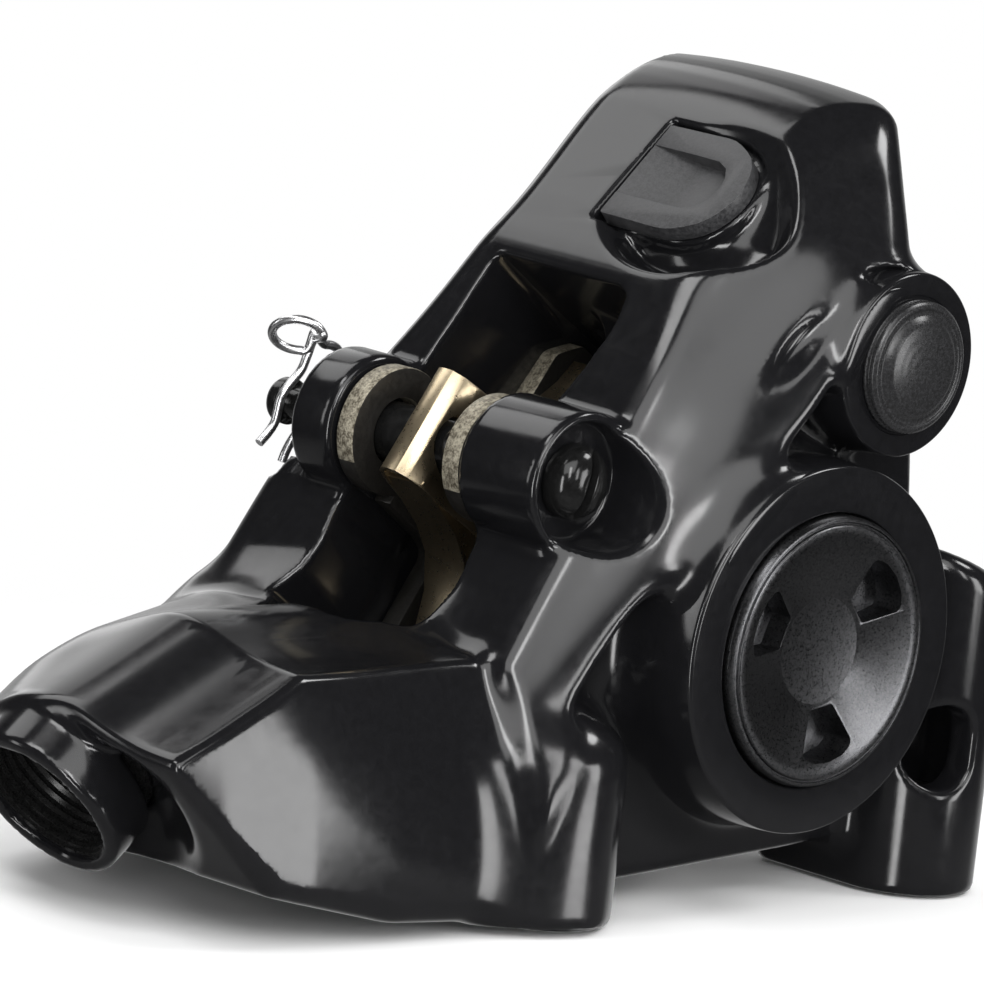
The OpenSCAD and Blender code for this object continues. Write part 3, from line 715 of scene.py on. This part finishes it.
def finish(name, dark, light, rough, metallic=0.0, grain=2500.0, contrast=0.2, bump=0.1,
           height=0.00003, film=0.0, rings=None, axis=None):
    """a surface between two colours and two roughnesses, with grain, film and rings of its own"""
    m = bpy.data.materials.new(name)
    m.use_nodes = True
    nt = m.node_tree
    link, new = nt.links.new, nt.nodes.new
    p = nt.nodes["Principled BSDF"]
    p.inputs["Metallic"].default_value = metallic
    where, centre = new("ShaderNodeTexCoord"), new("ShaderNodeMapping")
    link(where.outputs["Object"], centre.inputs["Vector"])
    if axis is not None:
        centre.vector_type = "TEXTURE"
        centre.inputs["Location"].default_value = axis.to_translation() * MM
        centre.inputs["Rotation"].default_value = axis.to_euler()

    def use_group(tree, **values):
        node = new("ShaderNodeGroup")
        node.node_tree = tree
        link(centre.outputs[0], node.inputs["Place"])
        for label, value in values.items():
            node.inputs[label].default_value = value
        return node.outputs

    def bump_of(height_socket, distance):
        node = new("ShaderNodeBump")
        node.inputs["Strength"].default_value, node.inputs["Distance"].default_value = bump, distance
        link(height_socket, node.inputs["Height"])
        return node

    grains = use_group(FINE_GRAIN, Scale=grain, Contrast=contrast)
    films = use_group(HANDLED_FILM, Amount=film)
    mix = new("ShaderNodeMix")
    mix.data_type = "RGBA"
    mix.inputs["A"].default_value, mix.inputs["B"].default_value = (*dark, 1), (*light, 1)
    link(grains["Mask"], mix.inputs["Factor"])
    link(mix.outputs["Result"], p.inputs["Base Color"])
    span = new("ShaderNodeMapRange")
    span.inputs["To Min"].default_value, span.inputs["To Max"].default_value = rough
    link(grains["Mask"], span.inputs["Value"])
    link(sum_of(nt, "ADD", span.outputs[0], films["Mask"]), p.inputs["Roughness"])
    relief = bump_of(grains["Height"], height)
    if rings is not None:
        lines = bump_of(use_group(TURNED_RINGS, Scale=rings)["Height"], height * 0.4)
        link(lines.outputs[0], relief.inputs["Normal"])
    link(relief.outputs[0], p.inputs["Normal"])
    return m


body_black = finish("body_black", (0.005, 0.005, 0.0055), (0.008, 0.008, 0.009), (0.11, 0.16), grain=1400,
                    contrast=0.3, bump=0.015, height=0.00001, film=0.03)
cap_metal = finish("cap_dark_metal", (0.075, 0.076, 0.08), (0.145, 0.145, 0.15), (0.26, 0.34), 1.0,
                   grain=5200, contrast=0.13, bump=0.3, axis=CAP_PLACE)
plug_black = finish("plug_black", (0.012, 0.012, 0.012), (0.03, 0.03, 0.032), (0.2, 0.32), 0.2, grain=5200,
                    contrast=0.15, bump=0.2, rings=9000.0, axis=VALVE_PLACE)
cap_rubber = finish("cap_rubber", (0.014, 0.014, 0.015), (0.05, 0.05, 0.052), (0.32, 0.5), 0.0, grain=3600,
                    contrast=0.13, bump=0.35)
pin_black = finish("pin_black", (0.006, 0.006, 0.006), (0.014, 0.014, 0.014), (0.1, 0.18), 0.3, grain=2600,
                   bump=0.08, rings=6000.0, axis=PIN_PLACE)
clip_steel = finish("clip_steel", (0.72, 0.72, 0.73), (0.86, 0.86, 0.87), (0.24, 0.34), 1.0, grain=2400,
                    contrast=0.25, bump=0.03)
spring_gold = finish("spring_gold", (0.54, 0.44, 0.29), (0.66, 0.55, 0.38), (0.26, 0.30), 1.0, grain=1800,
                     contrast=0.3, bump=0.0, height=0.00001)
plate_face = finish("plate_face_black", (0.012, 0.011, 0.01), (0.03, 0.028, 0.025), (0.3, 0.45), 0.4,
                    grain=2600, bump=0.15)
plate_edge = finish("plate_edge_steel", (0.10, 0.085, 0.06), (0.42, 0.385, 0.30), (0.38, 0.6), 0.5,
                    grain=2600, contrast=0.1, bump=0.6, height=0.00008)
lining_mix = finish("lining", (0.05, 0.045, 0.038), (0.33, 0.31, 0.26), (0.6, 0.85), 0.15, grain=3400,
                    contrast=0.1, bump=0.7, height=0.00009)
piston_metal = finish("piston_metal", (0.42, 0.41, 0.39), (0.56, 0.55, 0.52), (0.2, 0.32), 0.9, grain=2600,
                      bump=0.05, rings=7000.0, axis=CAP_PLACE)
nipple_steel = finish("nipple_steel", (0.48, 0.48, 0.49), (0.62, 0.62, 0.63), (0.2, 0.34), 1.0,
                      bump=0.06)
seal_rubber = finish("seal_rubber", (0.01, 0.01, 0.01), (0.022, 0.022, 0.022), (0.4, 0.55), 0.0,
                     bump=0.15)
thread_black = finish("thread_black", (0.006, 0.006, 0.006), (0.02, 0.02, 0.02), (0.22, 0.34), 0.35,
                      grain=3000, bump=0.1)

housing.data.materials.append(body_black)
for material, names in (
        (seal_rubber, ("bore_cap_seal", "outer_piston_seal", "inner_piston_seal", "pin_ring", "bleed_seal",
                       "valve_seal")),
        (piston_metal, ("outer_piston", "inner_piston")),
        (nipple_steel, ("bleed_nipple", "cross_ball"))):
    for name in names:
        nodes[name].data.materials.clear()
        nodes[name].data.materials.append(material)


# ---- turned lips of the outer bore and of the valve seat ----

lip = lathe("bore_lip_turned", soften([(8.86, -3.6), (8.86, -6.24), (11.84, -6.24), (12.05, -3.2), (11.2, -3.2),
                                       (11.2, -3.6)], [0, 0.18, 0.3, 0, 0, 0]), CAP_PLACE, 160, ring=True)
dress(lip, "housing", "body_black", body_black, angle=50)
seat = lathe("valve_lip_turned", soften([(4.42, -2.6), (4.42, -4.8), (5.93, -4.8), (6.1, -2.6)], [0, 0.15, 0.3, 0]),
             VALVE_PLACE, 128, ring=True)
dress(seat, "housing", "body_black", body_black, angle=50)

# ---- bore cap: turned dish with three pockets for the pin tool ----

CAP_FACE = -7.0
cap_profile = [(r, CAP_FACE + w) for r, w in (
    (0, 0.92), (3.45, 0.92), (3.62, 0.8), (7.45, 0.06), (7.6, 0), (8.12, 0), (8.2, 0.06), (8.25, 0.22), (8.36, 0.22),
    (8.41, 0.08), (8.58, 0.12), (8.72, 0.42), (8.74, 0.56), (8.74, 2.25), (8.46, 2.3))]
cap_profile += [(8.46, -2.5), (7.2, -2.5), (6.8, -3.4), (0, -3.4)]
pocket_shape = soften([(3.75, -1.05), (6.45, -2.3), (7.05, -1.3), (7.25, 0), (7.05, 1.3), (6.45, 2.3), (3.75, 1.05)],
                      [0.25, 0.5, 1, 1, 1, 0.5, 0.25])
pockets = []
for turn in (40, 160, 280):
    t = math.radians(-turn)
    spun = [(a * math.cos(t) - b * math.sin(t), a * math.sin(t) + b * math.cos(t)) for a, b in pocket_shape]
    pockets.append(prism("pocket", spun, -8, -4.6, CAP_PLACE))
bore_cap = worked(lathe("bore_cap_turned", cap_profile, CAP_PLACE), cuts=pockets, edge=0.07)
dress(bore_cap, "bore_cap", "cap_dark_metal", cap_metal, "bore_cap")

# ---- valve plug: turned steps and a raised middle ----

VALVE_FACE = -6.0
plug_profile = [(r, VALVE_FACE + w) for r, w in (
    (0, -0.1), (2.75, -0.1), (2.9, -0.04), (3.3, 0.22), (3.42, 0.34), (3.7, 0.34), (3.8, 0.26), (4.02, 0.26),
    (4.25, 0.44), (4.28, 0.68), (4.05, 0.78), (4.05, 0.9), (4.28, 1.0), (4.28, 1.18), (3.2, 1.2))]
plug_profile += [(3.2, -3.2), (2.6, -3.2), (2.6, -2.2), (3.2, -2.2), (3.2, -1.7), (1.4, 0.9), (0, 0.9)]
plug = worked(lathe("valve_plug_turned", plug_profile, VALVE_PLACE), edge=0.05)
dress(plug, "valve", "plug_black", plug_black, "valve_plug")

# ---- soft cap over the bleed port, its recess open at the straight side ----

D_OUTLINE = soften([(-3.95, 5.3), (3.95, 5.3), (4.05, -0.4), (2.9, -2.95), (0, -4.1), (-2.9, -2.95), (-4.05, -0.4)],
                   [0.25, 0.25, 3, 3.2, 3.6, 3.2, 3])
bleed_skirt = lathe("skirt", [(0, -1.7), (2.95, -1.7), (2.95, -0.6), (0, -0.6)], BLEED_PLACE, 64)
d_body = prism("bleed_cap_soft", [tuple(v) for v in D_OUTLINE], -1.12, 0.0, BLEED_PLACE)
bm = bmesh.new()
recess = [(2.15, 5.9), (2.15, 1.6), (2.1, -0.4), (1.7, -1.3), (0.9, -1.85), (0, -2.0), (-0.9, -1.85), (-1.7, -1.3),
          (-2.1, -0.4), (-2.15, 1.6), (-2.15, 5.9)]


def recess_floor(v):
    """the floor slopes up to the straight side"""
    return 0.12 - 0.24 * (5.9 - v) if v > 1.6 else -0.92


over = [bm.verts.new(BLEED_PLACE @ Vector((a, b, 0.6))) for a, b in recess]
under = [bm.verts.new(BLEED_PLACE @ Vector((a, b, recess_floor(b)))) for a, b in recess]
bm.faces.new(over)
for k in range(len(recess)):
    j = (k + 1) % len(recess)
    bm.faces.new((under[k], under[j], over[j], over[k]))
bm.faces.new([under[0], under[1], under[9], under[10]])
bm.faces.new(under[1:10])
recess_cut = solid_of(bm, "recess")
bleed_cap = worked(d_body, cuts=[recess_cut], joins=[bleed_skirt], edge=0.1, steps=3)
dress(bleed_cap, "bleed_cap", "cap_rubber", cap_rubber, "bleed_cap")

# ---- pad pin: domed head with a slot, neck and end button ----

pin_profile = [(0, -0.1), (0.9, -0.06), (1.55, 0.14), (2.0, 0.45), (2.3, 0.9), (2.4, 1.4), (2.4, 1.9), (2.3, 2.0),
               (1.9, 2.0), (1.9, 2.6), (1.55, 2.65), (1.55, 3.35), (1.9, 3.4), (1.9, 22.3), (1.75, 22.5), (1.05, 23.2),
               (1.0, 23.4), (1.0, 26.5), (1.1, 26.6), (1.42, 26.68), (1.5, 26.8), (1.5, 27.4), (1.38, 27.62),
               (1.1, 27.76), (0.6, 27.8), (0, 27.8)]
slot_frame = PIN_PLACE @ Matrix.Rotation(math.radians(14), 4, "Z")
slot_cut = prism("slot", [(-0.36, -4), (0.36, -4), (0.36, 4), (-0.36, 4)], -1, 0.95, slot_frame)
pin = worked(lathe("pad_pin_turned", pin_profile, PIN_PLACE, 72), cuts=[slot_cut], edge=0.06)
dress(pin, "pin", "pin_black", pin_black, "pad_pin", angle=40)

# ---- wire clip on the neck of the pin ----

CLIP_Y = 26.0
leg_one = [(-19.43, 24.97), (-18.74, 25.6), (-18.25, 26.25), (-18.08, 27.0), (-17.9, 27.89), (-17.29, 28.69),
           (-16.4, 29.57), (-15.99, 30.55), (-15.6, 31.5)]
leg_two = [(-15.6, 32.05), (-15.1, 31.6), (-14.6, 31.2), (-13.9, 31.1), (-13.25, 30.75), (-13.1, 30.0), (-13.6, 29.0),
           (-14.4, 27.9), (-15.1, 26.5), (-16.3, 25.3), (-16.9, 24.4), (-17.2, 23.65)]
wire_points = [(x, CLIP_Y, z) for x, z in leg_one]
ring_right, ring_up = Vector((0.677, -0.735, 0)), Vector((-0.336, -0.31, 0.89))
for k in range(1, 16):
    t = 2 * math.pi * k / 17 - 0.35
    wire_points.append(Vector((-17.1, CLIP_Y, 31.9)) + ring_right * 1.62 * math.cos(t) + ring_up * 1.2 * math.sin(t)
                       + Vector((-0.4, -0.4, 0.1)) * (0.5 - k / 16) * 1.2)
wire_points += [(x, CLIP_Y, z) for x, z in leg_two]
clip = path_object("pin_clip_wire", smooth_path(wire_points, 5))
grown(clip, wire_tree(), wire_radius=0.0003, sides=14, material=clip_steel)
dress(clip, "clip", "clip_steel", clip_steel, "pin_clip", angle=60)


# ---- pads: steel plates, their edges bare only high up round the tab, and linings ----

def two_tone(obj, face_material, edge_material):
    """flat faces, and the edges low on the plate, take one finish; edges higher than 25.5 mm, round the tab, take the
    other
    """
    mesh = obj.data
    mesh.materials.clear()
    mesh.materials.append(face_material)
    mesh.materials.append(edge_material)
    for f in mesh.polygons:
        bare = abs(f.normal.y) < 0.8 and f.center.z > 0.0255
        f.material_index = 1 if bare else 0


plate_points = soften([(-13.3, -6), (-10.4, -9.5), (9.4, -9.5), (12.3, -6), (12.3, 8.6), (10.6, 10.3), (3.4, 10.4),
                       (3.1, 12), (3.1, 16.5), (-4.7, 16.5), (-4.7, 12), (-5, 10.4), (-11.6, 10.3), (-13.3, 8.6)],
                      [1.5, 1.5, 1.5, 1.5, 1, 1, 1, 1, 0, 0, 1, 1, 1, 1])
lining_points = soften([(-12.7, -5.8), (-9.9, -9), (8.9, -9), (11.7, -5.8), (11.7, 6.6), (10.3, 8), (-11.3, 8),
                        (-12.7, 6.6)], 1.0)
LINING_FACE, LINING_BACK, PLATE_BACK = 1.2, 3.95, 5.45


def round_the_pin(radius):
    """a circle on the slope, centred on the pad pin"""
    turns = [2 * math.pi * k / 72 for k in range(72)]
    return [(PIN_U + radius * math.cos(t), PIN_N + radius * math.sin(t)) for t in turns]


for side, sign in (("outer", -1), ("inner", 1)):
    near, far = sorted((ROTOR_Y + sign * LINING_BACK, ROTOR_Y + sign * PLATE_BACK))
    tab = prism("tab", round_the_pin(4.15), near, far, SLOPE_PLACE)
    hole = prism("hole", round_the_pin(2.2), near - 1, far + 1, SLOPE_PLACE)
    plate = prism(side + "_plate_blanked", [tuple(v) for v in plate_points], near, far, SLOPE_PLACE)
    worked(plate, joins=[tab], cuts=[hole], edge=0.14)
    two_tone(plate, plate_face, plate_edge)
    dress(plate, side + "_pad", "plate_steel", None, side + "_pad_plate")
    near, far = sorted((ROTOR_Y + sign * LINING_FACE, ROTOR_Y + sign * LINING_BACK))
    lining = prism(side + "_lining_block", [tuple(v) for v in lining_points], near, far, SLOPE_PLACE)
    worked(lining, edge=0.3)
    dress(lining, side + "_pad", "lining", lining_mix, side + "_pad_lining")

# ---- folded leaf spring between the pads ----

half_section = [(0, 22.3), (0.62, 22.2), (1.25, 21.55), (1.7, 20.4), (2.5, 16.2), (2.78, 14.4), (2.85, 13.2),
                (2.85, 9.2)]
inner_line = [(2.55, 9.2), (2.55, 13.2), (2.48, 14.3), (2.2, 16.2), (1.4, 20.3), (1.0, 21.35), (0.5, 21.9), (0, 22.0)]
section = half_section + inner_line
section += [(-a, b) for a, b in reversed(inner_line[:-1])] + [(-a, b) for a, b in reversed(half_section[1:])]
SECTION_PLACE = frame_at((0, ROTOR_Y, CYLINDER_Z), (0, 1, 0), (-SLOPE_SIN, 0, SLOPE_COS), (SLOPE_COS, 0, SLOPE_SIN))
bridge = prism("pad_spring_leaf", section, PIN_U - 3.75, PIN_U + 3.75, SECTION_PLACE)
arm_points = soften([(-11.3, 7.7), (-11.5, 8.9), (-8, 9.7), (-5.9, 10.9), (-4.7, 12.6), (-4.5, 13.9), (2.9, 13.9),
                     (3.1, 12.6), (4.3, 10.9), (6.5, 9.8), (10.9, 8.9), (10.7, 7.8), (3, 9.0), (-4.5, 9.0)],
                    [0.5, 0.5, 3, 3, 2, 0, 0, 2, 3, 3, 0.5, 0.5, 2, 2])
LEAF = 0.3
arms = []
for arm_y in (ROTOR_Y - 2.7, ROTOR_Y + 2.7):
    arms.append(prism("arm", [tuple(v) for v in arm_points], arm_y - LEAF / 2, arm_y + LEAF / 2, SLOPE_PLACE))
for way in (1, -1):
    line = [Vector((PIN_U - way * a, b)) for a, b in (
        (3.6, 20.6), (3.9, 18.2), (4.4, 15.8), (5.3, 13.9), (7.2, 12.2), (9.2, 11.3), (11.0, 10.9))]
    beside = []
    for i, spot in enumerate(line):
        run = (line[min(i + 1, 6)] - line[max(i - 1, 0)]).normalized()
        beside.append(spot + Vector((-run.y, run.x)) * LEAF * way)
    ribbon = [tuple(v) for v in line] + [tuple(v) for v in reversed(beside)]
    arms.append(prism("tongue", ribbon, ROTOR_Y - 1.75, ROTOR_Y + 1.75, SLOPE_PLACE))
opening = prism("opening", round_the_pin(2.35), 6, 20, SLOPE_PLACE)
spring = worked(bridge, joins=arms, cuts=[opening], edge=0.05)
dress(spring, "housing", "spring_gold", spring_gold, "pad_spring", angle=25)

# ---- threads of the hose port and the mount holes ----

threads = thread_tree()


def threaded_bore(name, place, bore, depth, start, turns):
    """a thin liner with a thread, in a bore of the casting"""
    liner = lathe(name, [(bore + 0.03, start), (bore - 0.22, start), (bore - 0.22, start + depth),
                         (bore + 0.03, start + depth)], place, 96, ring=True)
    ridge = path_object("ridge", [(0, 0, 0), (0, 0, 0.001)])
    grown(ridge, threads, bore_radius=(bore - 0.2) * MM, rise=depth * 0.94 * MM, turns=turns, depth=0.00022,
          material=thread_black)
    m = place.copy()
    m.translation = (place @ Vector((0, 0, start + depth * 0.03))) * MM
    ridge.data.transform(m)
    joined = bmesh.new()
    joined.from_mesh(liner.data)
    joined.from_mesh(ridge.data)
    joined.to_mesh(liner.data)
    joined.free()
    bpy.data.objects.remove(ridge)
    dress(liner, "housing", "body_black", thread_black)


threaded_bore("port_thread", PORT_PLACE, PORT_BORE, 4.4, -5.0, 6.0)
for name, x, deep in (("low_mount_thread", -MOUNT_X, 10.2), ("tall_mount_thread", MOUNT_X, 5.4)):
    upright = frame_at((x, 0, 0), (1, 0, 0), (0, 1, 0), (0, 0, 1))
    threaded_bore(name, upright, MOUNT_BORE, deep, 0.8, deep / 0.85)


# ---- studio ----

PICTURE_SIDE = 984
MIDDLE_X, MIDDLE_Y = 650.3, 480.68
PIXELS_PER_MM = 15.69
CAMERA_DISTANCE = 0.76688
FILM_WIDTH = 36


def facing_inwards(azimuth, elevation):
    """right, up and back of what looks at the caliper; azimuth 0 stands on the outer side"""
    back = Vector((math.sin(azimuth) * math.cos(elevation), -math.cos(azimuth) * math.cos(elevation),
                   math.sin(elevation)))
    right = Vector((math.cos(azimuth), math.sin(azimuth), 0))
    return right, back.cross(right), back


def photo_camera():
    """the camera as fitted to the photo"""
    azimuth, elevation, roll = (math.radians(v) for v in (-47.35, 9.66, -6.92))
    right, up, back = facing_inwards(azimuth, elevation)
    side = right * math.cos(roll) - up * math.sin(roll)
    rise = right * math.sin(roll) + up * math.cos(roll)
    data = bpy.data.cameras.new("camera")
    data.sensor_width = FILM_WIDTH
    data.lens = FILM_WIDTH * PIXELS_PER_MM * CAMERA_DISTANCE / MM / PICTURE_SIDE
    data.shift_x = (PICTURE_SIDE / 2 - MIDDLE_X) / PICTURE_SIDE
    data.shift_y = (MIDDLE_Y - PICTURE_SIDE / 2) / PICTURE_SIDE
    data.clip_start, data.clip_end = 0.05, 20
    camera = bpy.data.objects.new("camera", data)
    camera.matrix_world = frame_at(Vector((0, 10, 25)) * MM + back * CAMERA_DISTANCE, side, rise, back)
    bpy.context.scene.collection.objects.link(camera)
    bpy.context.scene.camera = camera


def softbox(name, azimuth, elevation, wide, tall, brightness, distance=0.95, aim=(-0.01, 0.008, 0.02)):
    """a lamp that fills the given angles as the object sees it"""
    right, up, back = facing_inwards(math.radians(azimuth), math.radians(elevation))
    data = bpy.data.lights.new(name, "AREA")
    data.shape = "RECTANGLE"
    data.size = 2 * distance * math.tan(math.radians(wide) / 2)
    data.size_y = 2 * distance * math.tan(math.radians(tall) / 2)
    data.energy = 4 * brightness * data.size * data.size_y
    lamp = bpy.data.objects.new(name, data)
    lamp.matrix_world = frame_at(Vector(aim) + back * distance, right, up, back)
    lamp.visible_camera = False
    bpy.context.scene.collection.objects.link(lamp)


photo_camera()
for lamp_values in (
        ("facet_light", -30, 42, 46, 34, 2.4), ("rail_strip", -24, 26, 8, 26, 9.0),
        ("rail_second", 6, 15, 7, 20, 6.0), ("leg_strip", -54, -3, 9, 40, 9.0),
        ("cap_light", 27, 3, 14, 24, 6.0), ("top_light", -174, 50, 28, 24, 2.0),
        ("crown_strip", -95, 62, 24, 12, 6.0), ("rear_strip", 150, 25, 20, 40, 0.9),
        ("ridge_light", 57, 46, 16, 14, 9.0), ("low_left", -120, 12, 10, 30, 3.0)):
    softbox(*lamp_values)

scene = bpy.context.scene
world = bpy.data.worlds.new("studio")
scene.world = world
world.use_nodes = True
nt = world.node_tree
nt.nodes.clear()
new, link = nt.nodes.new, nt.links.new
out = new("ShaderNodeOutputWorld")
seen, gloss = new("ShaderNodeMixShader"), new("ShaderNodeMixShader")
room, white, mirrored = (new("ShaderNodeBackground") for _ in range(3))
room.inputs["Color"].default_value, room.inputs["Strength"].default_value = (1, 1, 1, 1), 0.6
white.inputs["Color"].default_value, white.inputs["Strength"].default_value = (1, 1, 1, 1), 1.0
path, heading, facing = new("ShaderNodeLightPath"), new("ShaderNodeTexCoord"), new("ShaderNodeVectorMath")
facing.operation = "DOT_PRODUCT"
facing.inputs[1].default_value = (0.725, 0.668, -0.1)
link(heading.outputs["Generated"], facing.inputs[0])
backdrop = new("ShaderNodeMapRange")
backdrop.interpolation_type = "SMOOTHSTEP"
backdrop.inputs["From Min"].default_value, backdrop.inputs["From Max"].default_value = 0.6, 0.98
backdrop.inputs["To Min"].default_value, backdrop.inputs["To Max"].default_value = 0.03, 0.7
link(facing.outputs["Value"], backdrop.inputs["Value"])
link(backdrop.outputs[0], mirrored.inputs["Strength"])
mirror_ray = sum_of(nt, "MAXIMUM", path.outputs["Is Glossy Ray"], path.outputs["Is Transmission Ray"])
link(mirror_ray, gloss.inputs["Fac"])
link(room.outputs[0], gloss.inputs[1])
link(mirrored.outputs[0], gloss.inputs[2])
link(path.outputs["Is Camera Ray"], seen.inputs["Fac"])
link(gloss.outputs[0], seen.inputs[1])
link(white.outputs[0], seen.inputs[2])
link(seen.outputs[0], out.inputs["Surface"])

# pale floor, which fades into the white behind it
bm = bmesh.new()
bmesh.ops.create_circle(bm, cap_ends=True, segments=96, radius=0.5)
floor_mesh = bpy.data.meshes.new("floor")
bm.to_mesh(floor_mesh)
bm.free()
floor = bpy.data.objects.new("floor", floor_mesh)
floor.location = (0, 0, -0.0002)
scene.collection.objects.link(floor)
floor_pale = bpy.data.materials.new("floor_pale")
floor_pale.use_nodes = True
nt = floor_pale.node_tree
new, link = nt.nodes.new, nt.links.new
surface = nt.nodes["Principled BSDF"]
surface.inputs["Base Color"].default_value = (0.9, 0.9, 0.9, 1)
surface.inputs["Roughness"].default_value = 0.9
surface.inputs["Specular IOR Level"].default_value = 0.0
where, from_middle, fade = new("ShaderNodeTexCoord"), new("ShaderNodeVectorMath"), new("ShaderNodeMapRange")
from_middle.operation = "LENGTH"
off_centre = new("ShaderNodeMapping")
off_centre.inputs["Location"].default_value = (0.015, -0.012, 0)
link(where.outputs["Object"], off_centre.inputs["Vector"])
link(off_centre.outputs[0], from_middle.inputs[0])
link(from_middle.outputs["Value"], fade.inputs["Value"])
fade.interpolation_type = "SMOOTHSTEP"
fade.inputs["From Min"].default_value, fade.inputs["From Max"].default_value = 0.036, 0.085
fade.inputs["To Min"].default_value, fade.inputs["To Max"].default_value = 1.0, 0.0
dim = sum_of(nt, "MULTIPLY_ADD", new("ShaderNodeLightPath").outputs["Is Glossy Ray"], -0.85, 1.0)
keep = sum_of(nt, "MULTIPLY", fade.outputs[0], dim)
clear, lay = new("ShaderNodeBsdfTransparent"), new("ShaderNodeMixShader")
link(keep, lay.inputs["Fac"])
link(clear.outputs[0], lay.inputs[1])
link(surface.outputs[0], lay.inputs[2])
link(lay.outputs[0], nt.nodes["Material Output"].inputs["Surface"])
floor.data.materials.append(floor_pale)

scene.view_settings.view_transform = "Standard"
